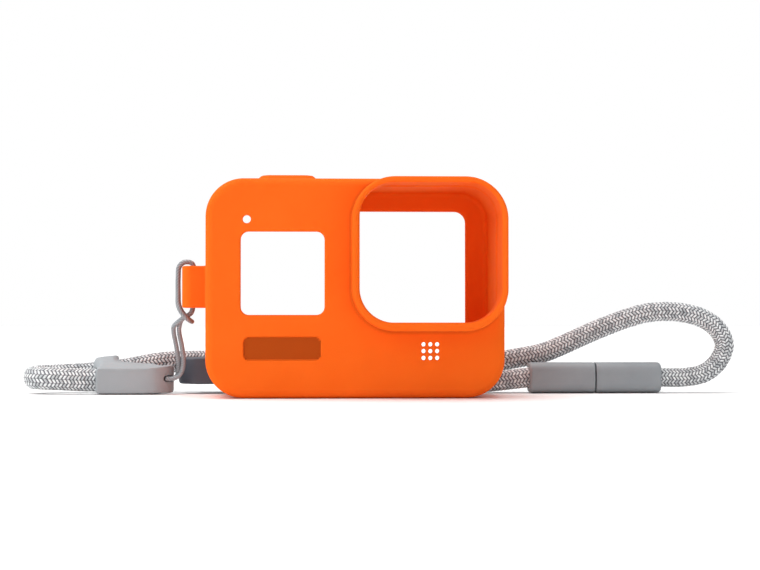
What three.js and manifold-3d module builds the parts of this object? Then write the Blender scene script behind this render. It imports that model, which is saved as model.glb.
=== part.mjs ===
// Camera sleeve with an adjustable wrist lanyard: a thin silicone sleeve with openings for the camera's
// lens, screens and mounting fingers, two press pads, a tether, two cord sliders and a connector.
// Millimetres, +Z up, +X to the right when the lens faces the viewer, -Y towards the viewer.
import * as THREE from 'three';
import { mergeVertices } from 'three/addons/utils/BufferGeometryUtils.js';
import Module from 'manifold-3d';

// ---- sleeve
const BODY_W = 70.4;
const BODY_H = 51.6;
const BODY_D = 27;
const BODY_R = 9;
const EDGE = 1.6;
const LIP_EDGE = 0.5;
const WALL = 1.7;
const RIM_DEPTH = 7;
const RIM = { x0: -1.0, x1: 35.2, z0: 15.7, z1: 51.6, r: 10 };
const LENS = { x0: 0.7, x1: 33.7, z0: 17.7, z1: 50.2, r: 8 };
const WINDOW = { x0: -26.9, x1: -7.3, z0: 19.5, z1: 39.0, r: 1.9 };
const REAR = { x0: -28.1, x1: 28.1, z0: 6.4, z1: 45.2, r: 2.8 };
const FOOT = { x0: -17, x1: 17, y0: -7.5, y1: 7.5, r: 3 };
const LABEL = { x0: -26.3, x1: -8.1, z0: 8.8, z1: 14.4, r: 1.4, depth: 0.4 };
const LAMP = { x: -25.5, z: 41.9, d: 1.9 };
const GRILLE = { x: 17.55, z: 11.0, pitch: 1.6, d: 1.05, n: 3 };
const TAB = { out: 6, z0: 21.2, z1: 31.2, y: 5.2, r: 2.4, wall: 1.8, hole: 0.8 };

// ---- press pads
const GAP = 0.3;
const PAD_PROUD = 1.3;
const SIDE_PROUD = 0.5;
const SHUTTER = { x: -16.1, w: 13, d: 9, r: 3 };
const MODE = { z: 27, w: 8, h: 12, r: 3 };

// ---- lanyard
const CORD_D = 5;
const THIN_D = 1.15;
const BORE_D = 5.6;
const SLIDE_L = 19;
const SLIDE_Y = 7.2;
const SLIDE_H = 6.7;
const SLIDE_BORE = 9;
const RING_H = 7.8;
const RING_BORE = 6.3;
const RING_BACK = 0.3;
const STRAND_GAP = 11;
const WEB = { l: 14, y: 7.2, r: 1.2 };
const SLOT = { half: 2, low: -0.6, high: 1.4, depth: 5, r: 0.7 };
const CRIMP_D = 5;
const CRIMP = { from: 4.4, to: 8.4 };
const LINK_CRIMP = { from: 3.9, to: 7 };
const CLIP = { half: 1.5, z0: 3.2, z1: 4.4, from: 14.4, to: 16.6, r: 0.4 };
const A = { x0: -63.2, y: 13.4, z: 3.4, ringX: -64.1, ringL: 5.2, ringZ: 5.2, webUp: 1.2 };
const B = { x0: -43.6, y: 17.8, z: 5.55, ringX: -32, ringL: 7.4, ringZ: 7.7, webUp: 0 };
const LINK = { x0: 44.4, x1: 77.6, y: 16.5, z: 3.8, side: 7.6, r: 2.4, seam: 0.3 };
const MID = (LINK.x0 + LINK.x1) / 2;
const PIN = { d: 3.4, out: 7, root: 3, groove: 2, grooveL: 1.2 };
const LINER = { d: 5.2, bore: 3.7, l: 9, play: 0.3 };

// ---- clearance round fitted pieces, and how far a cutting tool runs past what it cuts
const FIT = 0.3;
const BEYOND = 1;

// ---- the frame: origin under the middle of the sleeve's own box, on the surface it stands on
const LEFT = -BODY_W / 2 - TAB.out;
const RIGHT = BODY_W / 2 + SIDE_PROUD;
const FRONT = -BODY_D / 2 - RIM_DEPTH;
const SHIFT = new THREE.Vector3(-(LEFT + RIGHT) / 2, -(FRONT + BODY_D / 2) / 2, 0);

// ---- cord routes, in the sleeve's own axes (add SHIFT for the row frame)
const HAIRPIN_ROUTE = [
  [-59.3, 13.4, 3.4], [-63.2, 13.4, 3.4], [-68.0, 13.4, 3.5], [-72.0, 13.5, 3.7], [-75.7, 14.2, 3.8],
  [-78.5, 16.2, 3.9], [-79.7, 18.9, 4.0], [-78.5, 21.6, 4.1], [-75.7, 23.6, 4.2], [-72.0, 24.3, 4.4],
  [-68.0, 24.4, 4.6], [-64.5, 24.4, 4.9], [-61.7, 24.4, 5.15],
];
const MAIN_ROUTE = [
  [-61.3, 24.4, 5.2], [-57.2, 24.4, 5.75], [-52.8, 24.7, 6.6], [-48.5, 25.8, 7.3], [-43.5, 27.6, 7.6],
  [-38.0, 28.7, 7.7], [-30.0, 28.8, 7.7], [-22.0, 28.8, 7.7], [-15.5, 28.8, 7.6], [-9.0, 28.7, 6.4],
  [-1.0, 28.3, 4.6], [8.0, 27.4, 3.9], [18.0, 25.9, 4.1], [28.0, 23.9, 5.5], [39.5, 21.7, 8.1],
  [48.4, 21.4, 9.8], [53.5, 21.0, 11.8], [63.5, 20.5, 16.2], [73.4, 19.5, 19.7], [78.4, 19.0, 20.4],
  [83.3, 18.5, 20.2], [88.3, 18.0, 19.0], [92.4, 17.6, 16.3], [94.4, 17.2, 12.2], [92.9, 16.9, 8.0],
  [89.2, 16.6, 4.9], [84.0, 16.5, 3.8], [77.6, 16.5, 3.8], [74.0, 16.5, 3.8],
];
const LOWER_ROUTE = [
  [48.0, 16.5, 3.8], [44.4, 16.5, 3.8], [40.0, 16.7, 3.3], [34.0, 17.0, 2.7], [24.0, 17.6, 2.5],
  [10.0, 18.0, 2.5], [-4.0, 18.0, 2.7], [-14.0, 17.9, 4.0], [-20.0, 17.8, 5.3], [-24.6, 17.8, 5.55],
  [-28.3, 17.8, 5.55],
];
const TETHER_ROUTE = [
  [-46.2, 12.5, 3.8], [-44.2, 12.5, 3.8], [-42.42, 11.92, 5.05], [-41.64, 10.38, 8.2],
  [-41.92, 8.0, 12.0], [-42.32, 5.2, 15.0], [-42.24, 3.3, 16.6], [-41.75, 1.9, 18.05],
  [-40.95, 0.66, 18.85], [-39.2, 0.66, 20.0], [-38.65, 0.66, 22.5], [-38.65, 0.66, 27.0],
  [-38.55, 0.66, 30.8], [-39.1, 0.66, 32.0], [-40.95, 0.66, 32.15], [-42.05, 0.66, 31.1],
  [-42.3, 0.66, 28.5], [-42.3, 0.9, 24.5], [-42.2, 1.6, 22.0], [-41.5, 2.2, 20.3],
  [-40.1, 2.05, 18.7], [-39.0, 0.0, 17.9], [-40.1, -2.05, 18.7], [-41.5, -2.2, 20.3],
  [-42.2, -1.6, 22.0], [-42.3, -0.9, 24.5], [-42.3, -0.66, 28.5], [-42.05, -0.66, 31.1],
  [-40.95, -0.66, 32.15], [-39.1, -0.66, 32.0], [-38.55, -0.66, 30.8], [-38.65, -0.66, 27.0],
  [-38.65, -0.66, 22.5], [-39.2, -0.66, 20.0], [-41.05, -0.66, 18.75], [-42.65, 0.9, 17.55],
  [-43.56, 3.1, 16.6], [-43.68, 5.2, 15.0], [-43.28, 8.0, 12.0], [-42.96, 11.22, 8.2],
  [-43.18, 13.48, 5.15], [-44.2, 14.0, 3.8], [-46.2, 14.0, 3.8],
];

const wasm = await Module();
wasm.setup();

const COLOURS = {
  silicone: [0xfa6721, 0.55, 0],
  grey_tpu: [0xa6a6ab, 0.5, 0],
  dark_tpu: [0x4b4855, 0.5, 0],
  link: [0x8c8b8f, 0.45, 0],
  braid: [0xb4b4b6, 0.8, 0],
  thin: [0xc9c9cc, 0.6, 0],
  steel: [0xb0b2b5, 0.35, 1],
};

// ---- solids

function flat(geometry) {
  return geometry.index ? geometry.toNonIndexed() : geometry;
}

function solid(geometry) {
  const bare = new THREE.BufferGeometry();
  bare.setAttribute('position', flat(geometry).getAttribute('position').clone());
  const merged = mergeVertices(bare, 1e-4);
  const mesh = new wasm.Mesh({
    numProp: 3,
    vertProperties: new Float32Array(merged.getAttribute('position').array),
    triVerts: new Uint32Array(merged.getIndex().array),
  });
  return new wasm.Manifold(mesh);
}

function roundedShape(u0, u1, v0, v1, r) {
  const s = new THREE.Shape();
  s.moveTo(u0 + r, v0);
  s.lineTo(u1 - r, v0);
  s.absarc(u1 - r, v0 + r, r, -Math.PI / 2, 0);
  s.lineTo(u1, v1 - r);
  s.absarc(u1 - r, v1 - r, r, 0, Math.PI / 2);
  s.lineTo(u0 + r, v1);
  s.absarc(u0 + r, v1 - r, r, Math.PI / 2, Math.PI);
  s.lineTo(u0, v0 + r);
  s.absarc(u0 + r, v0 + r, r, Math.PI, 1.5 * Math.PI);
  return s;
}

// A rounded block that runs along one axis from a to b; its section is given in the other two axes.
function block(axis, box, a, b, r, bevel = 0, curves = 6) {
  const [u0, u1, v0, v1] = box;
  const shape = roundedShape(u0 + bevel, u1 - bevel, v0 + bevel, v1 - bevel, Math.max(r - bevel, 0.05));
  const options = { depth: b - a - 2 * bevel, curveSegments: curves, bevelEnabled: bevel > 0 };
  if (bevel > 0) Object.assign(options, { bevelSize: bevel, bevelThickness: bevel, bevelSegments: 2 });
  const g = new THREE.ExtrudeGeometry(shape, options);
  g.translate(0, 0, a + bevel);
  if (axis === 'x') g.applyMatrix4(swapped([2, 0, 1]));
  if (axis === 'y') {
    // swapping two axes mirrors the solid, so its faces are turned outwards again
    g.applyMatrix4(swapped([0, 2, 1]));
    flip(g);
  }
  return solid(g);
}

// The matrix whose row i takes the coordinate order[i].
function swapped(order) {
  const rows = order.flatMap((from) => [0, 1, 2, 3].map((i) => (i === from ? 1 : 0)));
  return new THREE.Matrix4().set(...rows, 0, 0, 0, 1);
}

function flip(g) {
  const p = g.getAttribute('position');
  for (let i = 0; i < p.count; i += 3) {
    const a = [p.getX(i + 1), p.getY(i + 1), p.getZ(i + 1)];
    p.setXYZ(i + 1, p.getX(i + 2), p.getY(i + 2), p.getZ(i + 2));
    p.setXYZ(i + 2, ...a);
  }
}

// A round bar along x or y, through the point c, from a to b on that axis.
function rod(axis, c, d, a, b, sides = 20) {
  const g = new THREE.CylinderGeometry(d / 2, d / 2, b - a, sides);
  g.translate(0, (a + b) / 2, 0);
  if (axis === 'x') g.rotateZ(-Math.PI / 2);
  g.translate(...c);
  return solid(g);
}

function cutAll(base, tools) {
  return tools.reduce((whole, tool) => whole.subtract(tool), base);
}

function geometryOf(manifold) {
  const m = manifold.getMesh();
  const g = new THREE.BufferGeometry();
  g.setAttribute('position', new THREE.BufferAttribute(new Float32Array(m.vertProperties), 3));
  g.setIndex(new THREE.BufferAttribute(new Uint32Array(m.triVerts), 1));
  return g;
}

const part = new THREE.Group();
part.position.copy(SHIFT);

function add(name, geometry, finish) {
  const [color, roughness, metalness] = COLOURS[finish];
  const g = flat(geometry);
  g.computeVertexNormals();
  const mesh = new THREE.Mesh(g, new THREE.MeshStandardMaterial({ color, roughness, metalness }));
  mesh.name = name;
  part.add(mesh);
}

// ---- the silicone sleeve

function sleeve() {
  const w = BODY_W / 2;
  const d = BODY_D / 2;
  const inner = w - WALL;
  const outside = -d - BEYOND;
  const within = -d + WALL + BEYOND;
  let s = block('y', [-w, w, 0, BODY_H], -d, d, BODY_R, EDGE, 8);
  s = s.add(block('y', outline(RIM), FRONT, -d + WALL, RIM.r, LIP_EDGE, 8));
  s = s.add(block('z', [LEFT, -w + WALL, -TAB.y, TAB.y], TAB.z0, TAB.z1, TAB.r, 0, 4));
  const cuts = [
    block('y', [-inner, inner, WALL, BODY_H - WALL], -d + WALL, d - WALL, BODY_R - WALL, 0, 6),
    block('y', outline(LENS), FRONT - BEYOND, within, LENS.r, 0, 6),
    block('y', outline(WINDOW), outside, within, WINDOW.r, 0, 3),
    block('y', outline(REAR), d - WALL - BEYOND, d + BEYOND, REAR.r, 0, 4),
    block('z', [FOOT.x0, FOOT.x1, FOOT.y0, FOOT.y1], -BEYOND, WALL + BEYOND, FOOT.r, 0, 4),
    block('y', outline(LABEL), outside, -d + LABEL.depth, LABEL.r, 0, 3),
    block('z', tabBox(TAB.wall), TAB.z0 - BEYOND, TAB.z1 + BEYOND, TAB.hole, 0, 2),
    rod('y', [LAMP.x, 0, LAMP.z], LAMP.d, outside, within, 12),
    block('z', padBox(SHUTTER, GAP), BODY_H - WALL - BEYOND, BODY_H + BEYOND, SHUTTER.r + GAP, 0, 4),
    block('x', modeBox(GAP), w - WALL - BEYOND, w + BEYOND, MODE.r + GAP, 0, 4),
  ];
  for (let i = 0; i < GRILLE.n; i += 1) {
    for (let j = 0; j < GRILLE.n; j += 1) {
      const x = GRILLE.x + (i - 1) * GRILLE.pitch;
      const z = GRILLE.z + (j - 1) * GRILLE.pitch;
      cuts.push(rod('y', [x, 0, z], GRILLE.d, outside, within, 8));
    }
  }
  return cutAll(s, cuts);
}

function outline(o) {
  return [o.x0, o.x1, o.z0, o.z1];
}

function tabBox(wall) {
  return [LEFT + wall, -BODY_W / 2, -TAB.y + wall, TAB.y - wall];
}

function padBox(pad, grow) {
  return [pad.x - pad.w / 2 - grow, pad.x + pad.w / 2 + grow, -pad.d / 2 - grow, pad.d / 2 + grow];
}

function modeBox(grow) {
  return [-MODE.w / 2 - grow, MODE.w / 2 + grow, MODE.z - MODE.h / 2 - grow, MODE.z + MODE.h / 2 + grow];
}

function shutterPad() {
  return block('z', padBox(SHUTTER, 0), BODY_H - WALL, BODY_H + PAD_PROUD, SHUTTER.r, 0.4, 4);
}

function modePad() {
  const w = BODY_W / 2;
  return block('x', modeBox(0), w - WALL, w + SIDE_PROUD, MODE.r, 0.25, 4);
}

// ---- the cords

function tube(points, d, sides, steps) {
  const section = new THREE.Shape();
  for (let i = 0; i < sides; i += 1) {
    const a = (2 * Math.PI * i) / sides;
    const x = (d / 2) * Math.cos(a);
    const y = (d / 2) * Math.sin(a);
    if (i === 0) section.moveTo(x, y);
    else section.lineTo(x, y);
  }
  section.closePath();
  const through = points.map((p) => new THREE.Vector3(...p));
  const extrudePath = new THREE.CatmullRomCurve3(through, false, 'centripetal');
  const run = new THREE.ExtrudeGeometry(section, { steps, extrudePath, curveSegments: 1 });
  return geometryOf(solid(run));
}

// ---- the sliders: a bar that holds a cord's end, and an eye behind it that rides on the other strand

function slider(s, endAtRight) {
  const x1 = s.x0 + SLIDE_L;
  const eye0 = s.ringX;
  const eye1 = eye0 + s.ringL;
  const farY = s.y + STRAND_GAP;
  const bottom = s.z - SLIDE_H / 2;
  const top = s.z + SLIDE_H / 2;
  const bar = [s.y - SLIDE_Y / 2, s.y + SLIDE_Y / 2, bottom, top];
  const eye = [s.y, farY + RING_H / 2 + RING_BACK, s.ringZ - RING_H / 2, s.ringZ + RING_H / 2];
  const web = [s.y - 1, s.y + WEB.y, bottom, top + s.webUp];
  const webEnds = endAtRight ? [x1 - WEB.l, x1 - BEYOND] : [s.x0 + BEYOND, s.x0 + WEB.l];
  const body = block('x', bar, s.x0, x1, 2, 0.5, 4)
    .add(block('x', eye, eye0, eye1, 3, 0.4, 4))
    .add(block('x', web, ...webEnds, WEB.r, 0.4, 3));
  const bore = endAtRight ? [x1 - SLIDE_BORE, x1 + BEYOND] : [s.x0 - BEYOND, s.x0 + SLIDE_BORE];
  const cuts = [
    rod('x', [0, s.y, s.z], BORE_D, ...bore),
    rod('x', [0, farY, s.ringZ], RING_BORE, eye0 - BEYOND, eye1 + BEYOND),
  ];
  if (!endAtRight) {
    const slot = [s.y - SLOT.half, s.y + SLOT.half, s.z + SLOT.low, s.z + SLOT.high];
    cuts.push(block('x', slot, x1 - SLOT.depth, x1 + BEYOND, SLOT.r, 0, 3));
  }
  return cutAll(body, cuts);
}

function crimp(at, [from, to]) {
  return rod('x', [0, at.y, at.z], CRIMP_D, from, to);
}

function tetherClip() {
  const box = [A.y - CLIP.half, A.y + CLIP.half, CLIP.z0, CLIP.z1];
  return block('x', box, A.x0 + CLIP.from, A.x0 + CLIP.to, CLIP.r);
}

// ---- the pull-apart connector

const AXIS = [0, LINK.y, LINK.z];
const SOCKET_END = MID - LINK.seam / 2;
const PLUG_START = MID + LINK.seam / 2;
const GROOVE = PLUG_START - PIN.out + PIN.groove;

function linkBox() {
  const h = LINK.side / 2;
  return [LINK.y - h, LINK.y + h, LINK.z - h, LINK.z + h];
}

function socketShell() {
  const linerEnd = SOCKET_END - LINER.l;
  return cutAll(block('x', linkBox(), LINK.x0, SOCKET_END, LINK.r, 0.6, 5), [
    rod('x', AXIS, LINER.d + 2 * FIT, linerEnd - FIT, SOCKET_END + BEYOND),
    rod('x', AXIS, BORE_D, LINK.x0 - BEYOND, linerEnd),
  ]);
}

function plugShell() {
  const rootEnd = PLUG_START + PIN.root + FIT;
  return cutAll(block('x', linkBox(), PLUG_START, LINK.x1, LINK.r, 0.6, 5), [
    rod('x', AXIS, PIN.d + 2 * FIT, PLUG_START - BEYOND, rootEnd + FIT),
    rod('x', AXIS, BORE_D, rootEnd, LINK.x1 + BEYOND),
  ]);
}

function pin() {
  const body = rod('x', AXIS, PIN.d, PLUG_START - PIN.out, PLUG_START + PIN.root);
  const core = rod('x', AXIS, PIN.d - 0.8, GROOVE - BEYOND, GROOVE + PIN.grooveL + BEYOND);
  const ring = rod('x', AXIS, PIN.d + 1, GROOVE, GROOVE + PIN.grooveL).subtract(core);
  return body.subtract(ring);
}

function detentRing() {
  const ring = rod('x', AXIS, LINER.bore - 0.1, GROOVE + FIT, GROOVE + PIN.grooveL - FIT);
  return ring.subtract(rod('x', AXIS, PIN.d - 0.5, GROOVE - BEYOND, GROOVE + PIN.grooveL + BEYOND));
}

function liner() {
  const end = SOCKET_END - LINER.play;
  const start = SOCKET_END - LINER.l + LINER.play;
  return rod('x', AXIS, LINER.d, start, end)
    .subtract(rod('x', AXIS, LINER.bore, start - BEYOND, end + BEYOND));
}

add('silicone_sleeve', geometryOf(sleeve()), 'silicone');
add('shutter_button_pad', geometryOf(shutterPad()), 'silicone');
add('mode_button_pad', geometryOf(modePad()), 'silicone');

add('tether_slider_body', geometryOf(slider(A, false)), 'grey_tpu');
add('tether_slider_crimp', geometryOf(crimp(A, [A.x0 + CRIMP.from, A.x0 + CRIMP.to])), 'steel');
add('tether_clip', geometryOf(tetherClip()), 'steel');
add('hairpin_cord', tube(HAIRPIN_ROUTE, CORD_D, 12, 20), 'braid');
add('main_cord', tube(MAIN_ROUTE, CORD_D, 12, 46), 'braid');
add('tether_cord', tube(TETHER_ROUTE, THIN_D, 8, 72), 'thin');

const endB = B.x0 + SLIDE_L;
add('keeper_slider_body', geometryOf(slider(B, true)), 'dark_tpu');
add('keeper_slider_crimp', geometryOf(crimp(B, [endB - CRIMP.to, endB - CRIMP.from])), 'steel');
add('lower_cord', tube(LOWER_ROUTE, CORD_D, 12, 20), 'braid');

const socketCrimp = [LINK.x0 + LINK_CRIMP.from, LINK.x0 + LINK_CRIMP.to];
const plugCrimp = [LINK.x1 - LINK_CRIMP.to, LINK.x1 - LINK_CRIMP.from];
add('socket_shell', geometryOf(socketShell()), 'link');
add('socket_liner', geometryOf(liner()), 'steel');
add('socket_crimp', geometryOf(crimp(LINK, socketCrimp)), 'steel');
add('plug_shell', geometryOf(plugShell()), 'link');
add('plug_pin', geometryOf(pin()), 'steel');
add('plug_detent_ring', geometryOf(detentRing()), 'dark_tpu');
add('plug_crimp', geometryOf(crimp(LINK, plugCrimp)), 'steel');

export default part;
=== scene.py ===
"""Camera sleeve with a braided wrist lanyard, lit softly on a pale floor."""

import math

import bpy
import numpy as np
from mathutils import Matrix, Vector


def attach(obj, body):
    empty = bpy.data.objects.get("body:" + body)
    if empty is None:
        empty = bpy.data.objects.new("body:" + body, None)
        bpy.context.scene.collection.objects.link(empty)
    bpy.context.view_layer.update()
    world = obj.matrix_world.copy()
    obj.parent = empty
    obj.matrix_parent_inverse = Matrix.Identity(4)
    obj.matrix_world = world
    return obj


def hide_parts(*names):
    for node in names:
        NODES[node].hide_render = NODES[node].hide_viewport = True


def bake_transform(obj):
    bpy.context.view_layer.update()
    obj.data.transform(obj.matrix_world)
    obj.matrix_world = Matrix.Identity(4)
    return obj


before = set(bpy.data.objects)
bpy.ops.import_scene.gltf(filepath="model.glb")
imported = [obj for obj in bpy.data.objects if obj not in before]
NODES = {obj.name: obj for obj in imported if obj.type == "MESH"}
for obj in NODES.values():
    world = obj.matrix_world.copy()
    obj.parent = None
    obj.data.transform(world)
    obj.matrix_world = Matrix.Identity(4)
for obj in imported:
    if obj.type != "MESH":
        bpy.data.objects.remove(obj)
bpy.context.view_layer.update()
MM = 0.001

# ---- camera and light
CAMERA_BACK, CAMERA_X, CAMERA_Z = 415.4, -13.8, 18.9  # mm before the rim's lip, across and up
CAMERA_TILT, CAMERA_TURN, CAMERA_LENS = math.radians(91.03), math.radians(-2.64), 85.5
WORLD_LIGHT = (0.74, 0.47)  # from the left, from the right
OVERHEAD_LIGHT, OVERHEAD_SPREAD = 2.3, math.radians(50)
OVERHEAD_TURN = (math.radians(-6), math.radians(-14), 0)
LEFT_LIGHT, LEFT_SIZE, LEFT_AT, LEFT_AIM = 0.9, 0.3, (-0.5, -0.35, 0.3), (-0.02, 0.0, 0.02)
FLOOR, FLOOR_GAP = 3.0, 0.0001  # the floor's half side and how far it lies under the object, m

# ---- driving sizes, mm, in the sleeve's own axes; _R is a radius, _EDGE an edge's rounding
# and _ROOT the fillet where a shape grows out of another; a rounded rectangle is (u0, u1, v0, v1, r)
SHIFT = np.array([2.75, 3.5, 0.0])  # from the sleeve's axes to the row frame

BODY_W, BODY_H, BODY_D, BODY_R, WALL = 70.4, 51.6, 27.0, 9.0, 1.7
BODY_EDGE, BAY_EDGE = 2.0, 1.2
LIP_Y = -20.5
RIM = (-1.0, 35.2, 15.7, 51.6, 10.0)
LENS = (0.7, 33.7, 17.7, 50.2, 8.0)
WINDOW = (-26.9, -7.3, 19.5, 39.0, 1.9)
REAR = (-28.1, 28.1, 6.4, 45.2, 2.8)
FOOT = (-17.0, 17.0, -7.5, 7.5, 3.0)
LABEL = (-26.3, -8.1, 8.8, 14.4, 1.4)
LABEL_DEPTH = 0.4
LABEL_REACH, LABEL_BAND = 0.05, (-0.12, 0.3)  # what counts as the label's floor, across and in depth
RIM_SINK, RIM_EDGE, RIM_ROOT = 1.4, 0.6, 0.35
RIM_SHADE, RIM_SHADE_W, RIM_SHADE_OUT = 0.6, 0.8, 0.1  # painted shade in the corner round the lens rim's foot
LENS_EDGE, OPENING_EDGE, LABEL_EDGE, HOLE_EDGE, GRILLE_EDGE = 0.9, 0.5, 0.2, 0.3, 0.15
TOOL_EDGE, PAST = 0.1, 3.0  # the rounding of a cutting shape, and how far it runs past what it cuts
LAMP = (-25.5, 41.9, 0.95)
GRILLE_X, GRILLE_Z, GRILLE_PITCH, GRILLE_R = 17.55, 11.0, 1.6, 0.52
TAB_OUT, TAB_Z0, TAB_Z1, TAB_Y, TAB_WALL = 6.0, 21.2, 31.2, 5.2, 1.8
TAB_R, TAB_HOLE_R, TAB_EDGE, TAB_ROOT = 2.4, 0.8, 0.35, 0.8
SHUTTER_X, SHUTTER_W, SHUTTER_D, SHUTTER_TOP = -16.1, 13.0, 9.0, 1.3
SHUTTER_R, SHUTTER_SINK, SHUTTER_EDGE, SHUTTER_ROOT = 3.0, 1.5, 0.8, 2.2
NUB_X, NUB_Y, NUB_R, NUB_LOW, NUB_TOP, NUB_EDGE = 4.0, 2.6, 2.0, 0.7, 0.6, 0.3
MODE_Z, MODE_W, MODE_H, MODE_R = 27.0, 8.0, 12.0, 3.0
MODE_POCKET, MODE_GROOVE, MODE_BACK, MODE_PROUD, MODE_EDGE = 1.25, 0.18, 0.62, 0.45, 0.35
MODE_GRID_BACK = 0.7  # how far into the wall the mode pad's grid starts, before its margin
DISH_OUT, DISH_R, DISH_EDGE = 6.0, 5.85, 0.4

CORD_D, THIN_D = 5.0, 1.15
SLIDE_L, SLIDE_Y, SLIDE_H = 19.0, 7.2, 6.7
SLIDE_R, SLIDE_EDGE, SLIDE_BORE_R, SLIDE_BORE_L, SAG_L = 1.1, 0.6, 2.85, 9.0, 9.0
RING_H, RING_R, RING_EDGE, RING_ROOT, RING_BORE_R, RING_BACK = 7.8, 2.9, 0.9, 1.8, 3.0, 0.3
STRAND_GAP = 11.0
WEB_L, WEB_IN, WEB_Y, WEB_UP, WEB_R, WEB_EDGE, WEB_ROOT, WEB_SLOPE = 14.5, 0.5, 7.4, 0.7, 1.6, 1.2, 2.2, 0.11
BAR_OVERLAP = 1.0  # how far the web and the eye start from the bar's middle, so that they run into it
EYE_HEADROOM = 0.7  # what a slider's grid leaves above its eye, before its margin
PLAN_BACK, PLAN_BEYOND, PLAN_EDGE, SOLE_EDGE, BORE_EDGE = 4.2, 20.0, 0.7, 0.5, 0.35
EYE_LEAN = 0.1  # how far the tether slider's eye leans, as a slope
EYE_TOOL = 8.0  # half the length of what cuts an eye's bore
SLOT_Y, SLOT_Z, SLOT_R, SLOT_L = (-1.6, 1.3), (-0.3, 1.1), 0.65, 4.5
# bar's left end, y and z, eye's left end, length and z, web's rise, end corner, bar's sag and lift
TETHER_SLIDER = (-63.2, 13.4, 3.4, -64.1, 5.2, 5.2, 1.3, 7.0, (-0.3, 0.4))
KEEPER_SLIDER = (-43.6, 17.8, 5.55, -32.0, 7.4, 7.7, -0.5, 6.5, (0.0, 0.0))
LINK_X0, LINK_X1, LINK_Y, LINK_Z, LINK_SIDE, LINK_SEAM = 44.4, 77.6, 16.5, 3.8, 7.6, 0.3
LINK_R, LINK_EDGE, SEAM_EDGE, LINK_HOLE_EDGE, CORD_BORE_R = 2.4, 0.75, 0.25, 0.15, 2.6
SOCKET_R, SOCKET_L, SOCKET_CORD = 2.65, 9.5, 8.0
PLUG_R, PLUG_L, PLUG_CORD = 1.85, 3.4, 3.3
MARGIN = 0.61  # how far a piece's grid reaches past it
SPAN_POINTS = 60  # points worked out between two of a route's points

# ---- the braid: length of a float, columns round the cord, and how its floats stand off it
BRAID_PITCH, BRAID_COLUMNS = 0.88, 16
FLOAT_LEAN, FLOAT_HEIGHT, FLOAT_BASE = 0.62, 0.2, -0.14
LEFT_SECTION, ARCH_SECTION, FLAT_SECTION = (2.8, 2.3), (2.35, 2.5), (2.5, 2.5)  # half height, half width
TETHER_LAY, TETHER_RIB = 2.2, 0.02  # the tether's twist in radians a mm, and how high it stands
TETHER_STRANDS, TETHER_STEP, TETHER_ROUND = 4, 0.22, 20  # its strands, and its mesh along and round it
PATH_STEP = 0.8  # how far apart the points are that declare_cord works out along a route

# ---- cord routes, as in the CAD model
HAIRPIN_ROUTE = [
    (-59.3, 13.4, 3.4), (-63.2, 13.4, 3.4), (-68.0, 13.4, 3.5), (-72.0, 13.5, 3.7),
    (-75.7, 14.2, 3.8), (-78.5, 16.2, 3.9), (-79.7, 18.9, 4.0), (-78.5, 21.6, 4.1),
    (-75.7, 23.6, 4.2), (-72.0, 24.3, 4.4), (-68.0, 24.4, 4.6), (-64.5, 24.4, 4.9),
    (-61.7, 24.4, 5.15),
]
MAIN_ROUTE = [
    (-61.7, 24.4, 5.15), (-57.2, 24.4, 5.75), (-52.8, 24.7, 6.6), (-48.5, 25.8, 7.3),
    (-43.5, 27.6, 7.6), (-38.0, 28.7, 7.7), (-30.0, 28.8, 7.7), (-22.0, 28.8, 7.7),
    (-15.5, 28.8, 7.6), (-9.0, 28.7, 6.4), (-1.0, 28.3, 4.6), (8.0, 27.4, 3.9),
    (18.0, 25.9, 4.1), (28.0, 23.9, 5.5), (39.5, 21.7, 8.1), (48.4, 21.4, 9.8),
    (53.5, 21.0, 11.8), (63.5, 20.5, 16.2), (73.4, 19.5, 19.7), (78.4, 19.0, 20.4),
    (83.3, 18.5, 20.2), (88.3, 18.0, 19.0), (92.4, 17.6, 16.3), (94.4, 17.2, 12.2),
    (92.9, 16.9, 8.0), (89.2, 16.6, 4.9), (84.0, 16.5, 3.8), (77.6, 16.5, 3.8),
    (74.0, 16.5, 3.8),
]
LOWER_ROUTE = [
    (-28.3, 17.8, 5.55), (-24.6, 17.8, 5.55), (-20.0, 17.8, 5.3), (-14.0, 17.9, 4.0),
    (-4.0, 18.0, 2.7), (10.0, 18.0, 2.5), (24.0, 17.6, 2.5), (34.0, 17.0, 2.7),
    (40.0, 16.7, 3.3), (44.4, 16.5, 3.8), (48.0, 16.5, 3.8),
]
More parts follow.
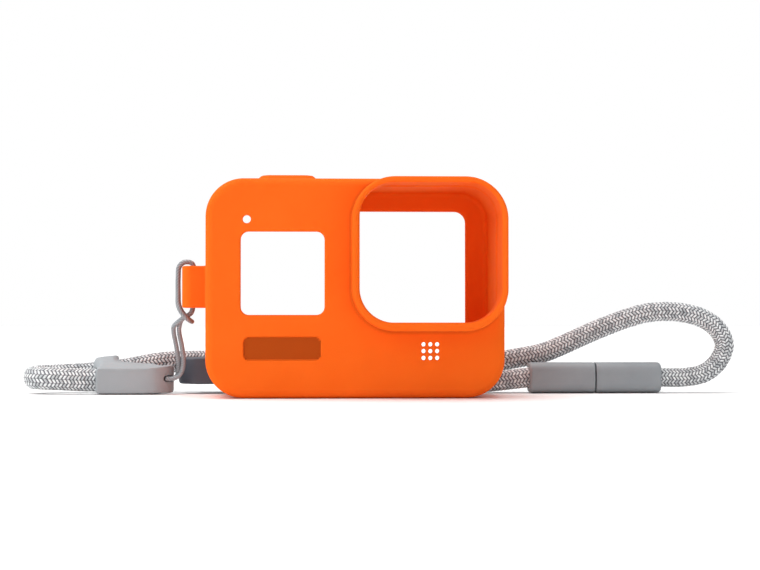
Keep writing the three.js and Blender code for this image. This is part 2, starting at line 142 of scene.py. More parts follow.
TETHER_ROUTE = [
    (-46.2, 12.5, 3.8), (-44.2, 12.5, 3.8), (-42.42, 11.92, 5.05), (-41.64, 10.38, 8.2),
    (-41.92, 8.0, 12.0), (-42.32, 5.2, 15.0), (-42.24, 3.3, 16.6), (-41.75, 1.9, 18.05),
    (-40.95, 0.66, 18.85), (-39.2, 0.66, 20.0), (-38.65, 0.66, 22.5), (-38.65, 0.66, 27.0),
    (-38.55, 0.66, 30.8), (-39.1, 0.66, 32.0), (-40.95, 0.66, 32.15), (-42.05, 0.66, 31.1),
    (-42.3, 0.66, 28.5), (-42.3, 0.9, 24.5), (-42.2, 1.6, 22.0), (-41.5, 2.2, 20.3),
    (-40.1, 2.05, 18.7), (-39.0, 0.0, 17.9), (-40.1, -2.05, 18.7), (-41.5, -2.2, 20.3),
    (-42.2, -1.6, 22.0), (-42.3, -0.9, 24.5), (-42.3, -0.66, 28.5), (-42.05, -0.66, 31.1),
    (-40.95, -0.66, 32.15), (-39.1, -0.66, 32.0), (-38.55, -0.66, 30.8), (-38.65, -0.66, 27.0),
    (-38.65, -0.66, 22.5), (-39.2, -0.66, 20.0), (-41.05, -0.66, 18.75), (-42.65, 0.9, 17.55),
    (-43.56, 3.1, 16.6), (-43.68, 5.2, 15.0), (-43.28, 8.0, 12.0), (-42.96, 11.22, 8.2),
    (-43.18, 13.48, 5.15), (-44.2, 14.0, 3.8), (-46.2, 14.0, 3.8),
]


def row(p):
    """A point given in mm in the sleeve's own axes, in metres in the row frame."""
    return tuple((np.array(p, float) + SHIFT) * MM)


# ---- camera and light

def make_camera():
    """In front of the lens rim, low down and a little left of the sleeve's middle."""
    cam = bpy.data.objects.new("Camera", bpy.data.cameras.new("Camera"))
    bpy.context.scene.collection.objects.link(cam)
    cam.location = row((CAMERA_X, LIP_Y - CAMERA_BACK, CAMERA_Z))
    cam.rotation_euler = (CAMERA_TILT, 0, CAMERA_TURN)
    cam.data.sensor_width = 36.0
    cam.data.lens = CAMERA_LENS
    cam.data.clip_start = 0.01
    bpy.context.scene.camera = cam


def area_light(name, at, aim, size, power):
    light = bpy.data.lights.new(name, "AREA")
    light.shape = "RECTANGLE"
    light.size = light.size_y = size
    light.energy = power
    ob = bpy.data.objects.new(name, light)
    bpy.context.scene.collection.objects.link(ob)
    ob.location = at
    ob.rotation_euler = (Vector(aim) - Vector(at)).to_track_quat("-Z", "Y").to_euler()


def make_stage():
    """White all round, brighter from the left, with a soft light from above and a white floor."""
    scene = bpy.context.scene
    scene.view_settings.view_transform = "Standard"
    world = bpy.data.worlds.new("World")
    world.use_nodes = True
    tree = world.node_tree
    background = tree.nodes["Background"]
    background.inputs["Color"].default_value = (1.0, 1.0, 1.0, 1.0)
    axes = node(tree, "SeparateXYZ")
    tree.links.new(node(tree, "TexCoord").outputs["Generated"], axes.inputs["Vector"])
    lit = node(tree, "MapRange")
    lit.inputs["From Min"].default_value = -1.0
    lit.inputs["To Min"].default_value, lit.inputs["To Max"].default_value = WORLD_LIGHT
    tree.links.new(axes.outputs["X"], lit.inputs["Value"])
    seen = node(tree, "MapRange")
    seen.inputs["To Max"].default_value = 1.0
    tree.links.new(node(tree, "LightPath").outputs["Is Camera Ray"], seen.inputs["Value"])
    tree.links.new(lit.outputs["Result"], seen.inputs["To Min"])
    tree.links.new(seen.outputs["Result"], background.inputs["Strength"])
    scene.world = world
    sun = bpy.data.lights.new("overhead", "SUN")
    sun.energy = OVERHEAD_LIGHT
    sun.angle = OVERHEAD_SPREAD
    sun_ob = bpy.data.objects.new("overhead", sun)
    scene.collection.objects.link(sun_ob)
    sun_ob.rotation_euler = OVERHEAD_TURN
    area_light("left", LEFT_AT, LEFT_AIM, LEFT_SIZE, LEFT_LIGHT)
    corners = [(FLOOR * u, FLOOR * v, 0) for u, v in ((-1, -1), (1, -1), (1, 1), (-1, 1))]
    floor = bpy.data.meshes.new("floor")
    floor.from_pydata(corners, [], [(0, 1, 2, 3)])
    floor.materials.append(new_material("floor_paper", (0.95, 0.95, 0.95), 0.9)[0])
    floor_ob = bpy.data.objects.new("floor", floor)
    scene.collection.objects.link(floor_ob)
    floor_ob.location.z = -FLOOR_GAP


# ---- materials

def new_material(name, colour, roughness, **sockets):
    mat = bpy.data.materials.new(name)
    mat.use_nodes = True
    shader = mat.node_tree.nodes["Principled BSDF"]
    shader.inputs["Base Color"].default_value = (*colour, 1.0)
    shader.inputs["Roughness"].default_value = roughness
    for key, value in sockets.items():
        shader.inputs[key.replace("_", " ")].default_value = value
    return mat, shader, mat.node_tree


def node(tree, kind, **settings):
    n = tree.nodes.new("ShaderNode" + kind)
    for key, value in settings.items():
        if key in n.inputs:
            n.inputs[key].default_value = value
        else:
            setattr(n, key, value)
    return n


def object_noise(tree, scale, detail=3.0, stretch=(1, 1, 1)):
    coords = node(tree, "TexCoord")
    mapping = node(tree, "Mapping", Scale=stretch)
    noise = node(tree, "TexNoise", Scale=scale, Detail=detail)
    tree.links.new(coords.outputs["Object"], mapping.inputs["Vector"])
    tree.links.new(mapping.outputs["Vector"], noise.inputs["Vector"])
    return noise.outputs["Fac"]


def ramp(tree, source, stops):
    n = node(tree, "ValToRGB")
    elements = n.color_ramp.elements
    while len(elements) < len(stops):
        elements.new(0.5)
    for element, (at, colour) in zip(elements, stops):
        element.position = at
        element.color = (*colour, 1.0)
    tree.links.new(source, n.inputs["Fac"])
    return n.outputs["Color"]


def bump(tree, shader, source, strength, distance):
    n = node(tree, "Bump", Strength=strength, Distance=distance)
    tree.links.new(source, n.inputs["Height"])
    tree.links.new(n.outputs["Normal"], shader.inputs["Normal"])


def rough_between(tree, shader, source, low, high):
    n = node(tree, "MapRange")
    n.inputs["To Min"].default_value = low
    n.inputs["To Max"].default_value = high
    tree.links.new(source, n.inputs["Value"])
    tree.links.new(n.outputs["Result"], shader.inputs["Roughness"])


def silicone_material():
    mat, shader, tree = new_material(
        "silicone", (0.94, 0.14, 0.01), 0.6, Specular_IOR_Level=0.015, Subsurface_Weight=0.1,
        Subsurface_Radius=(1.0, 0.25, 0.05), Subsurface_Scale=0.001,
    )
    # a mesh attribute mixes in a darker orange: the label's own tone, and painted shade in the corner round
    # the lens rim's foot
    label_and_rim_shade_mask = node(tree, "Attribute", attribute_name="label_tone_and_rim_shade")
    cloud = object_noise(tree, 90.0, 4.0)
    base = ramp(tree, cloud, [(0.3, (0.92, 0.14, 0.012)), (0.7, (0.95, 0.152, 0.014))])
    mix = node(tree, "Mix", data_type="RGBA")
    tree.links.new(label_and_rim_shade_mask.outputs["Fac"], mix.inputs[0])
    tree.links.new(base, mix.inputs[6])
    mix.inputs[7].default_value = (0.45, 0.07, 0.008, 1.0)
    tree.links.new(mix.outputs[2], shader.inputs["Base Color"])
    grain = object_noise(tree, 3500.0, 3.0)
    bump(tree, shader, grain, 0.12, 0.00006)
    rough_between(tree, shader, cloud, 0.6, 0.7)
    return mat


def moulded_material(name, dark, light, roughness):
    mat, shader, tree = new_material(name, light, roughness, Specular_IOR_Level=0.35)
    cloud = object_noise(tree, 160.0, 4.0)
    tree.links.new(ramp(tree, cloud, [(0.3, dark), (0.7, light)]), shader.inputs["Base Color"])
    bump(tree, shader, object_noise(tree, 2600.0, 2.0), 0.25, 0.00005)
    rough_between(tree, shader, cloud, roughness - 0.05, roughness + 0.05)
    return mat


def braid_material():
    """Light grey yarn floats with painted shade in the gaps between them; the mesh says how high and how
    pale each float is.
    """
    mat, shader, tree = new_material("braid", (0.5, 0.5, 0.51), 0.78, Sheen_Weight=0.3, Sheen_Roughness=0.5)
    lay = node(tree, "Attribute", attribute_name="lay")
    pale = node(tree, "Attribute", attribute_name="pale")
    tones = [(0.0, (0.5, 0.52, 0.54)), (0.6, (0.9, 0.92, 0.93)), (1.0, (0.97, 0.98, 0.98))]
    yarn = ramp(tree, pale.outputs["Fac"], tones)
    # painted shade: the colour darkens where the yarn lies low, in the gaps between the floats
    shades = [(0.12, (0.1, 0.1, 0.12)), (0.45, (0.7, 0.7, 0.7)), (0.75, (1, 1, 1))]
    depth = ramp(tree, lay.outputs["Fac"], shades)
    fibre = ramp(tree, object_noise(tree, 5200.0, 2.0), [(0.35, (0.8, 0.8, 0.8)), (0.65, (1, 1, 1))])
    first = node(tree, "Mix", data_type="RGBA", blend_type="MULTIPLY")
    second = node(tree, "Mix", data_type="RGBA", blend_type="MULTIPLY")
    for mix, a, b in ((first, yarn, depth), (second, first.outputs[2], fibre)):
        mix.inputs[0].default_value = 1.0
        tree.links.new(a, mix.inputs[6])
        tree.links.new(b, mix.inputs[7])
    tree.links.new(second.outputs[2], shader.inputs["Base Color"])
    bump(tree, shader, object_noise(tree, 5200.0, 2.0), 0.3, 0.00005)
    return mat


def thin_material():
    mat, shader, tree = new_material("thin_cord", (0.3, 0.31, 0.33), 0.35, Specular_IOR_Level=0.5)
    lay = node(tree, "Attribute", attribute_name="lay")
    # painted shade: darker in the grooves between the twisted strands, lighter on their ridges
    colour = ramp(tree, lay.outputs["Fac"], [(0.0, (0.17, 0.185, 0.2)), (1.0, (0.36, 0.38, 0.4))])
    tree.links.new(colour, shader.inputs["Base Color"])
    bump(tree, shader, object_noise(tree, 4200.0, 2.0), 0.2, 0.00004)
    return mat


def steel_material():
    mat, shader, tree = new_material("steel", (0.6, 0.6, 0.62), 0.32, Metallic=1.0)
    brushed = object_noise(tree, 900.0, 2.0, stretch=(0.05, 1, 1))
    rough_between(tree, shader, brushed, 0.24, 0.42)
    bump(tree, shader, brushed, 0.1, 0.00002)
    return mat


# ---- shapes as distance fields, in mm

def rect2(u, v, box, grow=0.0):
    """Signed distance to a rounded rectangle (u0, u1, v0, v1, r)."""
    u0, u1, v0, v1, r = box
    r = r + grow
    qu = np.abs(u - (u0 + u1) / 2) - ((u1 - u0) / 2 + grow - r)
    qv = np.abs(v - (v0 + v1) / 2) - ((v1 - v0) / 2 + grow - r)
    return np.hypot(np.maximum(qu, 0), np.maximum(qv, 0)) + np.minimum(np.maximum(qu, qv), 0) - r


def around(u, v, half_u, half_v, r):
    """A rounded rectangle's box from its middle and its half sides."""
    return (u - half_u, u + half_u, v - half_v, v + half_v, r)


MODE_OUTLINE = around(0, MODE_Z, MODE_W / 2, MODE_H / 2, MODE_R)


def prism(flat, w, w0, w1, edge):
    """A flat shape's distance, run from w0 to w1 with its edges rounded."""
    a = flat + edge
    b = np.abs(w - (w0 + w1) / 2) - (w1 - w0) / 2 + edge
    return np.hypot(np.maximum(a, 0), np.maximum(b, 0)) + np.minimum(np.maximum(a, b), 0) - edge


def join(a, b, k):
    h = np.maximum(k - np.abs(a - b), 0) / k
    return np.minimum(a, b) - h * h * k / 4


def cut(a, b, k):
    return -join(-a, b, k)


def opened(f, flat, w, w0, w1, edge):
    """A shape with a hole of a flat shape's outline cut through it from w0 to w1."""
    return cut(f, prism(flat, w, w0, w1, TOOL_EDGE), edge)


def sleeve_field(p):
    x, y, z = p
    w, d = BODY_W / 2, BODY_D / 2
    wall_y = -d + WALL
    through = (-d - PAST, wall_y + PAST)
    f = prism(rect2(x, z, (-w, w, 0, BODY_H, BODY_R)), y, -d, d, BODY_EDGE)
    f = join(f, prism(rect2(x, z, RIM), y, LIP_Y, -d + RIM_SINK, RIM_EDGE), RIM_ROOT)
    pad = rect2(x, y, around(SHUTTER_X, 0, SHUTTER_W / 2, SHUTTER_D / 2, SHUTTER_R))
    f = join(f, prism(pad, z, BODY_H - SHUTTER_SINK, BODY_H + SHUTTER_TOP, SHUTTER_EDGE), SHUTTER_ROOT)
    tab = rect2(x, y, (-w - TAB_OUT, -w + WALL, -TAB_Y, TAB_Y, TAB_R))
    f = join(f, prism(tab, z, TAB_Z0, TAB_Z1, TAB_EDGE), TAB_ROOT)
    inner = w - WALL
    bay = rect2(x, z, (-inner, inner, WALL, BODY_H - WALL, BODY_R - WALL))
    f = cut(f, prism(bay, y, wall_y, d - WALL, BAY_EDGE), HOLE_EDGE)
    f = opened(f, rect2(x, z, LENS), y, LIP_Y - PAST, wall_y + PAST, LENS_EDGE)
    f = opened(f, rect2(x, z, WINDOW), y, *through, OPENING_EDGE)
    f = opened(f, rect2(x, z, REAR), y, d - WALL - PAST, d + PAST, OPENING_EDGE)
    f = opened(f, rect2(x, y, FOOT), z, -PAST, WALL + PAST, OPENING_EDGE)
    f = opened(f, rect2(x, z, LABEL), y, -d - PAST, -d + LABEL_DEPTH, LABEL_EDGE)
    slot_y = TAB_Y - TAB_WALL
    slot = rect2(x, y, (-w - TAB_OUT + TAB_WALL, -w, -slot_y, slot_y, TAB_HOLE_R))
    f = opened(f, slot, z, TAB_Z0 - PAST, TAB_Z1 + PAST, OPENING_EDGE)
    f = opened(f, np.hypot(x - LAMP[0], z - LAMP[1]) - LAMP[2], y, *through, HOLE_EDGE)
    groove = rect2(y, z, MODE_OUTLINE, MODE_GROOVE)
    f = opened(f, groove, x, w - MODE_POCKET, w + PAST, LABEL_EDGE)
    gx = np.clip(np.round((x - GRILLE_X) / GRILLE_PITCH), -1, 1) * GRILLE_PITCH + GRILLE_X
    gz = np.clip(np.round((z - GRILLE_Z) / GRILLE_PITCH), -1, 1) * GRILLE_PITCH + GRILLE_Z
    return opened(f, np.hypot(x - gx, z - gz) - GRILLE_R, y, *through, GRILLE_EDGE)


def mode_pad_field(p):
    x, y, z = p
    w = BODY_W / 2
    f = prism(rect2(y, z, MODE_OUTLINE), x, w - MODE_BACK, w + MODE_PROUD, MODE_EDGE)
    dish = np.hypot(np.hypot(x - w - DISH_OUT, y), z - MODE_Z) - DISH_R
    return cut(f, dish, DISH_EDGE)


def press_nub_field(p):
    x, y, z = p
    outline = around(SHUTTER_X, 0, NUB_X, NUB_Y, NUB_R)
    return prism(rect2(x, y, outline), z, BODY_H - WALL - NUB_LOW, BODY_H - NUB_TOP, NUB_EDGE)


def slider_field(spec, end_at_right):
    """A bar that holds a cord's end, an eye behind it for the other strand, and a sloping web between."""
    x0, bar_y, bar_z, eye_x, eye_l, eye_z, rise, corner, (sag, lift) = spec
    x1 = x0 + SLIDE_L
    eye_mid = eye_x + eye_l / 2
    lean = 0.0 if end_at_right else EYE_LEAN
    far_y = bar_y + STRAND_GAP
    hy, hz, half = SLIDE_Y / 2, SLIDE_H / 2, RING_H / 2
    low = bar_z - hz
    plan_ends = (x0, x1 + PLAN_BEYOND) if end_at_right else (eye_x - PLAN_BEYOND, x1)
    plan = (*plan_ends, bar_y - hy, far_y + PLAN_BACK, corner)
    web = (bar_y - BAR_OVERLAP, bar_y + WEB_Y, low + WEB_UP, bar_z + hz + rise, WEB_R)
    web_ends = (x1 - WEB_L, x1 - WEB_IN) if end_at_right else (x0 + WEB_IN, x0 + WEB_L)
    ring = (bar_y + BAR_OVERLAP, far_y + half + RING_BACK, eye_z - half, eye_z + half, RING_R)
    slot_box = (bar_y + SLOT_Y[0], bar_y + SLOT_Y[1], bar_z + SLOT_Z[0], bar_z + SLOT_Z[1], SLOT_R)

    def field(p):
        x, y, z = p
        up = sag + (lift - sag) * np.clip((x - x0 - SAG_L) / SAG_L, 0, 1) ** 2
        top = np.clip((z - bar_z) / hz, 0, 1)
        bar = rect2(x, z - up * top, (x0, x1, low, bar_z + hz, SLIDE_R))
        f = prism(bar, y, bar_y - hy, bar_y + hy, SLIDE_EDGE)
        away = (eye_x - x) if end_at_right else (x - eye_x - eye_l)
        sloped = z + WEB_SLOPE * np.maximum(away, 0)
        f = join(f, prism(rect2(y, sloped, web), x, *web_ends, WEB_EDGE), WEB_ROOT)
        tilted = z - lean * (x - eye_mid)
        f = join(f, prism(rect2(y, tilted, ring), x, eye_x, eye_x + eye_l, RING_EDGE), RING_ROOT)
        f = cut(cut(f, z - low, SOLE_EDGE), -rect2(x, y, plan), PLAN_EDGE)
        eye = np.hypot(y - far_y, tilted - eye_z) - RING_BORE_R
        f = cut(f, np.maximum(eye, np.abs(x - eye_mid) - EYE_TOOL), OPENING_EDGE)
        hole = np.hypot(y - bar_y, z - bar_z) - SLIDE_BORE_R
        along = (x1 - SLIDE_BORE_L - x) if end_at_right else (x - x0 - SLIDE_BORE_L)
        f = cut(f, np.maximum(hole, along), BORE_EDGE)
        if not end_at_right:
            f = cut(f, np.maximum(rect2(y, z, slot_box), x1 - SLOT_L - x), BORE_EDGE)
        return f

    return field


def shell_field(is_socket):
    mid = (LINK_X0 + LINK_X1) / 2
    section = around(LINK_Y, LINK_Z, LINK_SIDE / 2, LINK_SIDE / 2, LINK_R)
    seam = LINK_SEAM / 2

    def field(p):
        x, y, z = p
        outer = rect2(y, z, section)
        axis = np.hypot(y - LINK_Y, z - LINK_Z)
        if is_socket:
            f = cut(prism(outer, x, LINK_X0, mid + PAST, LINK_EDGE), mid - seam - x, SEAM_EDGE)
            f = cut(f, np.maximum(axis - SOCKET_R, mid - SOCKET_L - x), LINK_HOLE_EDGE)
            return cut(f, np.maximum(axis - CORD_BORE_R, x - mid + SOCKET_CORD), HOLE_EDGE)
        f = cut(prism(outer, x, mid - PAST, LINK_X1, LINK_EDGE), x - mid - seam, SEAM_EDGE)
        f = cut(f, np.maximum(axis - PLUG_R, x - mid - PLUG_L), LINK_HOLE_EDGE)
        return cut(f, np.maximum(axis - CORD_BORE_R, mid + PLUG_CORD - x), HOLE_EDGE)

    return field


def steps(*stops):
    """Grid lines through (start, end, step) stretches that follow one another."""
    out = []
    for a, b, s in stops:
        n = max(1, round((b - a) / s))
        out.extend(a + (b - a) * np.arange(n) / n)
    return np.array(out + [stops[-1][1]])


def surface(field, xs, ys, zs):
    """Vertices, quads and normals of the field's zero surface: one vertex a crossed cell, moved onto it."""
    grid = np.meshgrid(xs, ys, zs, indexing="ij", sparse=False)
    v = field(grid).astype(np.float32)
    cells = tuple(n - 1 for n in v.shape)
    total = np.zeros(cells + (3,), np.float32)
    count = np.zeros(cells, np.int32)
    lines = (xs, ys, zs)
    crossings = []
    for axis in range(3):
        a = np.take(v, range(v.shape[axis] - 1), axis)
        b = np.take(v, range(1, v.shape[axis]), axis)
        idx = np.argwhere((a < 0) != (b < 0))
        va, vb = a[tuple(idx.T)], b[tuple(idx.T)]
        t = va / (va - vb)
        pos = np.stack([lines[k][idx[:, k]] for k in range(3)], 1)
        pos[:, axis] += t * (lines[axis][idx[:, axis] + 1] - lines[axis][idx[:, axis]])
        others = [k for k in range(3) if k != axis]
        ring = []
        for du, dv in ((0, 0), (1, 0), (1, 1), (0, 1)):
            c = idx.copy()
            c[:, others[0]] -= du
            c[:, others[1]] -= dv
            ok = np.all((c >= 0) & (c < np.array(cells)), 1)
            np.add.at(total, tuple(c[ok].T), pos[ok])
            np.add.at(count, tuple(c[ok].T), 1)
            ring.append((c, ok))
        crossings.append((ring, va < 0, axis))
    index = -np.ones(cells, np.int64)
    used = count > 0
    index[used] = np.arange(used.sum())
    verts = (total[used] / count[used][:, None]).astype(float)
    quads = []
    for ring, inside, axis in crossings:
        ok = np.all([o for _, o in ring], 0)
        q = np.stack([index[tuple(c[ok].T)] for c, _ in ring], 1)
        turn = inside[ok] if axis == 1 else ~inside[ok]
        q[turn] = q[turn][:, ::-1]
        quads.append(q)
    verts, normals = settle(field, verts)
    return verts, np.concatenate(quads), normals


def settle(field, verts, rounds=3, h=0.02):
    """Moves points onto the zero surface along the field's slope, and gives the slope there."""
    for _ in range(rounds):
        slope = gradient(field, verts, h)
        value = field(tuple(verts.T))
        step = value / np.maximum((slope ** 2).sum(1), 0.2)
        verts = verts - slope * np.clip(step, -0.3, 0.3)[:, None]
    slope = gradient(field, verts, h)
    return verts, slope / np.maximum(np.linalg.norm(slope, axis=1), 1e-9)[:, None]


def gradient(field, verts, h):
    out = np.empty_like(verts)
    for k in range(3):
        step = np.zeros(3)
        step[k] = h
        out[:, k] = (field(tuple((verts + step).T)) - field(tuple((verts - step).T))) / (2 * h)
    return out


def make_piece(name, verts, quads, material, normals, values=None):
    mesh = bpy.data.meshes.new(name)
    mesh.from_pydata(((verts + SHIFT) * MM).tolist(), [], quads.tolist())
    mesh.polygons.foreach_set("use_smooth", [True] * len(mesh.polygons))
    for key, data in (values or {}).items():
        attribute = mesh.attributes.new(key, "FLOAT", "POINT")
        attribute.data.foreach_set("value", data.astype(np.float32))
    mesh.materials.append(material)
    mesh.validate()
    mesh.update()
    mesh.normals_split_custom_set_from_vertices(normals.tolist())
    ob = bpy.data.objects.new(name, mesh)
    bpy.context.scene.collection.objects.link(ob)
    return ob


def moulded_piece(name, field, low, high, step, material):
    """A piece meshed on an even grid between two corners."""
    lines = [steps((low[k] - MARGIN, high[k] + MARGIN, step)) for k in range(3)]
    verts, quads, normals = surface(field, *lines)
    return make_piece(name, verts, quads, material, normals)


def make_sleeve(material):
    coarse = 0.5
    fine = 0.22
    xs = steps((-42, -27.4, coarse), (-27.4, -24, fine), (-24, 15, coarse), (15, 20.1, fine),
               (20.1, 33.1, coarse), (33.1, 35.9, fine))
    ys = steps((-21.3, -14, coarse), (-14, -11, 0.3), (-11, 11, 1.0), (11, 14.2, 0.3))
    zs = steps((-0.6, 8.2, coarse), (8.2, 14.9, fine * 1.3), (14.9, 40.3, coarse), (40.3, 43.3, fine),
               (43.3, 53.3, coarse))
    verts, quads, normals = surface(sleeve_field, xs, ys, zs)
    x, y, z = verts.T
    floor_y = -BODY_D / 2 + LABEL_DEPTH
    in_band = (y > floor_y + LABEL_BAND[0]) & (y < floor_y + LABEL_BAND[1])
    label = (rect2(x, z, LABEL) < LABEL_REACH) & in_band
    # 1 on the label for its own darker tone; near the lens rim's foot, painted shade that fades out over
    # RIM_SHADE_W
    to_corner = np.hypot(rect2(x, z, RIM) - RIM_SHADE_OUT, y + BODY_D / 2)
    label_tone_and_rim_shade = np.where(label, 1.0, RIM_SHADE * np.clip(1 - to_corner / RIM_SHADE_W, 0, 1))
    return make_piece("sleeve_moulding", verts, quads, material, normals, {"label_tone_and_rim_shade": label_tone_and_rim_shade})


# ---- cords

def centripetal(points, step):
    """Points a step apart along a centripetal Catmull-Rom curve."""
    p = [np.array(q, float) for q in points]
    p = [2 * p[0] - p[1]] + p + [2 * p[-1] - p[-2]]
    out = []
    for i in range(1, len(p) - 2):
        a, b, c, d = p[i - 1 : i + 3]
        t0 = 0.0
        t1 = t0 + np.linalg.norm(b - a) ** 0.5
        t2 = t1 + np.linalg.norm(c - b) ** 0.5
        t3 = t2 + np.linalg.norm(d - c) ** 0.5
        for t in np.linspace(t1, t2, SPAN_POINTS, endpoint=False):
            q1 = (t1 - t) / (t1 - t0) * a + (t - t0) / (t1 - t0) * b
            q2 = (t2 - t) / (t2 - t1) * b + (t - t1) / (t2 - t1) * c
            q3 = (t3 - t) / (t3 - t2) * c + (t - t2) / (t3 - t2) * d
            r1 = (t2 - t) / (t2 - t0) * q1 + (t - t0) / (t2 - t0) * q2
            r2 = (t3 - t) / (t3 - t1) * q2 + (t - t1) / (t3 - t1) * q3
            out.append((t2 - t) / (t2 - t1) * r1 + (t - t1) / (t2 - t1) * r2)
    out.append(p[-2])
    out = np.array(out)
    along = np.concatenate([[0], np.cumsum(np.linalg.norm(np.diff(out, axis=0), axis=1))])
    n = max(8, round(along[-1] / step))
    at = np.linspace(0, along[-1], n + 1)
    return np.stack([np.interp(at, along, out[:, k]) for k in range(3)], 1), at


def frames(line):
    """Two directions across the line at each point, turning as little as they can along it."""
    tangents = np.gradient(line, axis=0)
    tangents /= np.linalg.norm(tangents, axis=1)[:, None]
    up = np.array([0.0, 0.0, 1.0])
    ups = []
    for t in tangents:
        up = up - t * (up @ t)
        up /= np.linalg.norm(up)
        ups.append(up)
    ups = np.array(ups)
    return ups, np.cross(tangents, ups)


def braid_height(s, a, seed):
    """Height and paleness (0 to 1) of the yarn at length s and angle a: columns of slanted floats."""
    column = a / (2 * math.pi) * BRAID_COLUMNS
    index = np.floor(column)
    u = column - index - 0.5
    lean = np.where(index % 2 == 0, 1.0, -1.0)
    phase = s / BRAID_PITCH + FLOAT_LEAN * lean * u + 0.25 * (index % 2)
    floats = (0.5 + 0.5 * np.cos(2 * math.pi * phase)) ** 0.8
    ends = 1 - 0.7 * np.abs(2 * u) ** 4
    number = np.round(phase) * 37.0 + index * 91.0 + seed  # each float's own shade, the same every run
    shade = np.modf(np.abs(np.sin(number * 12.9898) * 43758.5453))[0]
    return floats * ends, shade


def make_cord(name, route, material, upright, seed):
    """A braided cord; upright gives its tall and wide half sizes at both ends, in mm."""
    points_round = 112
    line, at = centripetal(route, 0.13)
    ups, sides = frames(line)
    share = (at / at[-1])[:, None]
    tall = upright[0][0] + (upright[1][0] - upright[0][0]) * share
    wide = upright[0][1] + (upright[1][1] - upright[0][1]) * share
    angle = np.linspace(0, 2 * math.pi, points_round, endpoint=False)[None, :]
    lay, pale = braid_height(at[:, None], angle, seed)
    rise = FLOAT_HEIGHT * lay + FLOAT_BASE
    across = (tall + rise) * np.cos(angle)
    along_side = (wide + rise) * np.sin(angle)
    verts = line[:, None] + across[..., None] * ups[:, None] + along_side[..., None] * sides[:, None]
    return tube_piece(name, verts, material, {"lay": lay, "pale": pale})


def tube_piece(name, rings, material, values):
    n, m, _ = rings.shape
    i, j = np.meshgrid(np.arange(n - 1), np.arange(m), indexing="ij")
    k = (j + 1) % m
    quads = np.stack([i * m + j, i * m + k, (i + 1) * m + k, (i + 1) * m + j], -1).reshape(-1, 4)
    caps = [list(range(m))[::-1], list(range((n - 1) * m, n * m))]
    mesh = bpy.data.meshes.new(name)
    faces = quads.tolist() + caps
    mesh.from_pydata(((rings.reshape(-1, 3) + SHIFT) * MM).tolist(), [], faces)
    mesh.polygons.foreach_set("use_smooth", [True] * len(quads) + [False, False])
    for key, data in values.items():
        attribute = mesh.attributes.new(key, "FLOAT", "POINT")
        attribute.data.foreach_set("value", data.reshape(-1).astype(np.float32))
    mesh.materials.append(material)
    mesh.update()
    ob = bpy.data.objects.new(name, mesh)
    bpy.context.scene.collection.objects.link(ob)
    return ob


def make_tether(material):
    line, at = centripetal(TETHER_ROUTE, TETHER_STEP)
    ups, sides = frames(line)
    angle = np.linspace(0, 2 * math.pi, TETHER_ROUND, endpoint=False)[None, :]
    lay = 0.5 + 0.5 * np.cos(TETHER_STRANDS * (angle - at[:, None] * TETHER_LAY))
    radius = THIN_D / 2 - TETHER_RIB + TETHER_RIB * lay
    verts = line[:, None, :] + radius[..., None] * (
        np.cos(angle)[..., None] * ups[:, None, :] + np.sin(angle)[..., None] * sides[:, None, :]
    )
    return tube_piece("tether_strand", verts, material, {"lay": lay})


def declare_cord(route):
    line, at = centripetal(route, PATH_STEP)


# ---- the model

make_camera()

silicone = silicone_material()
slider_grey = moulded_material("slider_grey", (0.325, 0.35, 0.368), (0.355, 0.38, 0.398), 0.5)
# the keeper's grey darkened as painted shade, for the sleeve's shadow that falls over it
slider_dark = moulded_material("slider_dark", (0.068, 0.08, 0.102), (0.083, 0.095, 0.12), 0.5)
connector_grey = moulded_material("connector_grey", (0.27, 0.292, 0.31), (0.3, 0.322, 0.34), 0.48)
braid = braid_material()
thin = thin_material()
steel = steel_material()
seal = moulded_material("seal", (0.02, 0.02, 0.02), (0.035, 0.035, 0.035), 0.5)
make_stage()

sleeve_ob = make_sleeve(silicone)
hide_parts("silicone_sleeve")
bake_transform(sleeve_ob)

FINE = 0.28
nub_low = (SHUTTER_X - NUB_X, -NUB_Y, BODY_H - WALL - NUB_LOW)
nub_high = (SHUTTER_X + NUB_X, NUB_Y, BODY_H - NUB_TOP)
nub = moulded_piece("shutter_nub", press_nub_field, nub_low, nub_high, FINE, silicone)
pad_low = (BODY_W / 2 - MODE_GRID_BACK, -MODE_W / 2, MODE_Z - MODE_H / 2)
pad_high = (BODY_W / 2 + MODE_PROUD, MODE_W / 2, MODE_Z + MODE_H / 2)
mode_pad = moulded_piece("mode_pad_cap", mode_pad_field, pad_low, pad_high, FINE, silicone)
for piece, cad, body in (
    (nub, "shutter_button_pad", "shutter_pad"), (mode_pad, "mode_button_pad", "mode_pad"),
):
    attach(piece, body)
    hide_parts(cad)


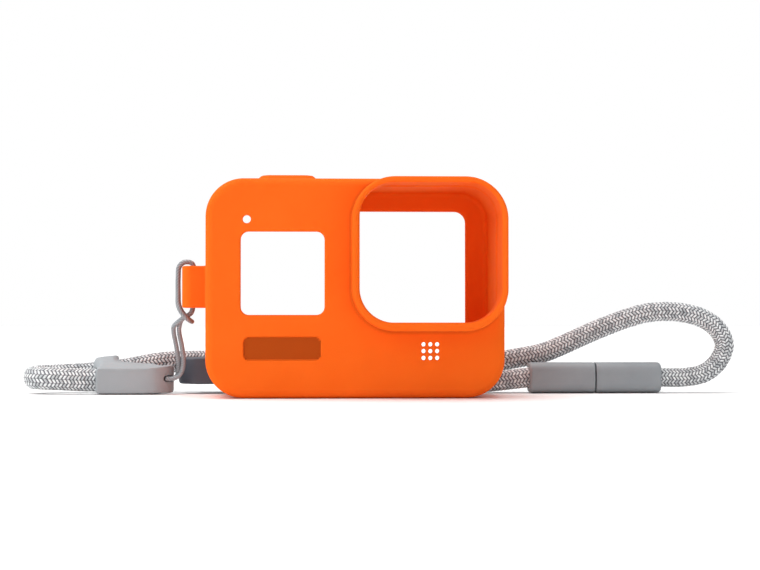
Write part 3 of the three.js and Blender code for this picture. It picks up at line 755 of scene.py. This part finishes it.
def slider_piece(name, spec, end_at_right, material, cad, body):
    x0, bar_y, bar_z, eye_x, _, eye_z = spec[:6]
    low = (min(x0, eye_x), bar_y - SLIDE_Y / 2, bar_z - SLIDE_H / 2)
    high = (x0 + SLIDE_L, bar_y + STRAND_GAP + PLAN_BACK, eye_z + RING_H / 2 + EYE_HEADROOM)
    ob = moulded_piece(name, slider_field(spec, end_at_right), low, high, FINE, material)
    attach(ob, body)
    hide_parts(cad)
    return ob


tether_slider = slider_piece(
    "tether_slider_moulding", TETHER_SLIDER, False, slider_grey,
    "tether_slider_body", "tether_slider",
)
keeper_slider = slider_piece(
    "keeper_slider_moulding", KEEPER_SLIDER, True, slider_dark,
    "keeper_slider_body", "keeper_slider",
)


def shell_piece(name, is_socket, cad, body):
    h = LINK_SIDE / 2
    mid = (LINK_X0 + LINK_X1) / 2
    x0, x1 = (LINK_X0, mid) if is_socket else (mid, LINK_X1)
    low, high = (x0, LINK_Y - h, LINK_Z - h), (x1, LINK_Y + h, LINK_Z + h)
    ob = moulded_piece(name, shell_field(is_socket), low, high, FINE, connector_grey)
    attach(ob, body)
    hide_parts(cad)
    return ob


socket = shell_piece("socket_half", True, "socket_shell", "sleeve")
plug = shell_piece("plug_half", False, "plug_shell", "plug")

hairpin = make_cord("hairpin_braid", HAIRPIN_ROUTE, braid, (LEFT_SECTION, LEFT_SECTION), 3)
main = make_cord("main_braid", MAIN_ROUTE, braid, (LEFT_SECTION, ARCH_SECTION), 11)
lower = make_cord("lower_braid", LOWER_ROUTE, braid, (FLAT_SECTION, FLAT_SECTION), 29)
tether = make_tether(thin)
for piece, cad, slot in (
    (hairpin, "hairpin_cord", "braid"), (main, "main_cord", "braid"),
    (lower, "lower_cord", "braid"), (tether, "tether_cord", "thin_cord"),
):
    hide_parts(cad)
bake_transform(hairpin)
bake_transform(main)
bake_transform(lower)
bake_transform(tether)

declare_cord(
    HAIRPIN_ROUTE,
)
declare_cord(
    MAIN_ROUTE,
)
declare_cord(
    LOWER_ROUTE,
)
declare_cord(TETHER_ROUTE)

for name, ob in NODES.items():
    finish = seal if name == "plug_detent_ring" else steel
    ob.data.materials.clear()
    ob.data.materials.append(finish)
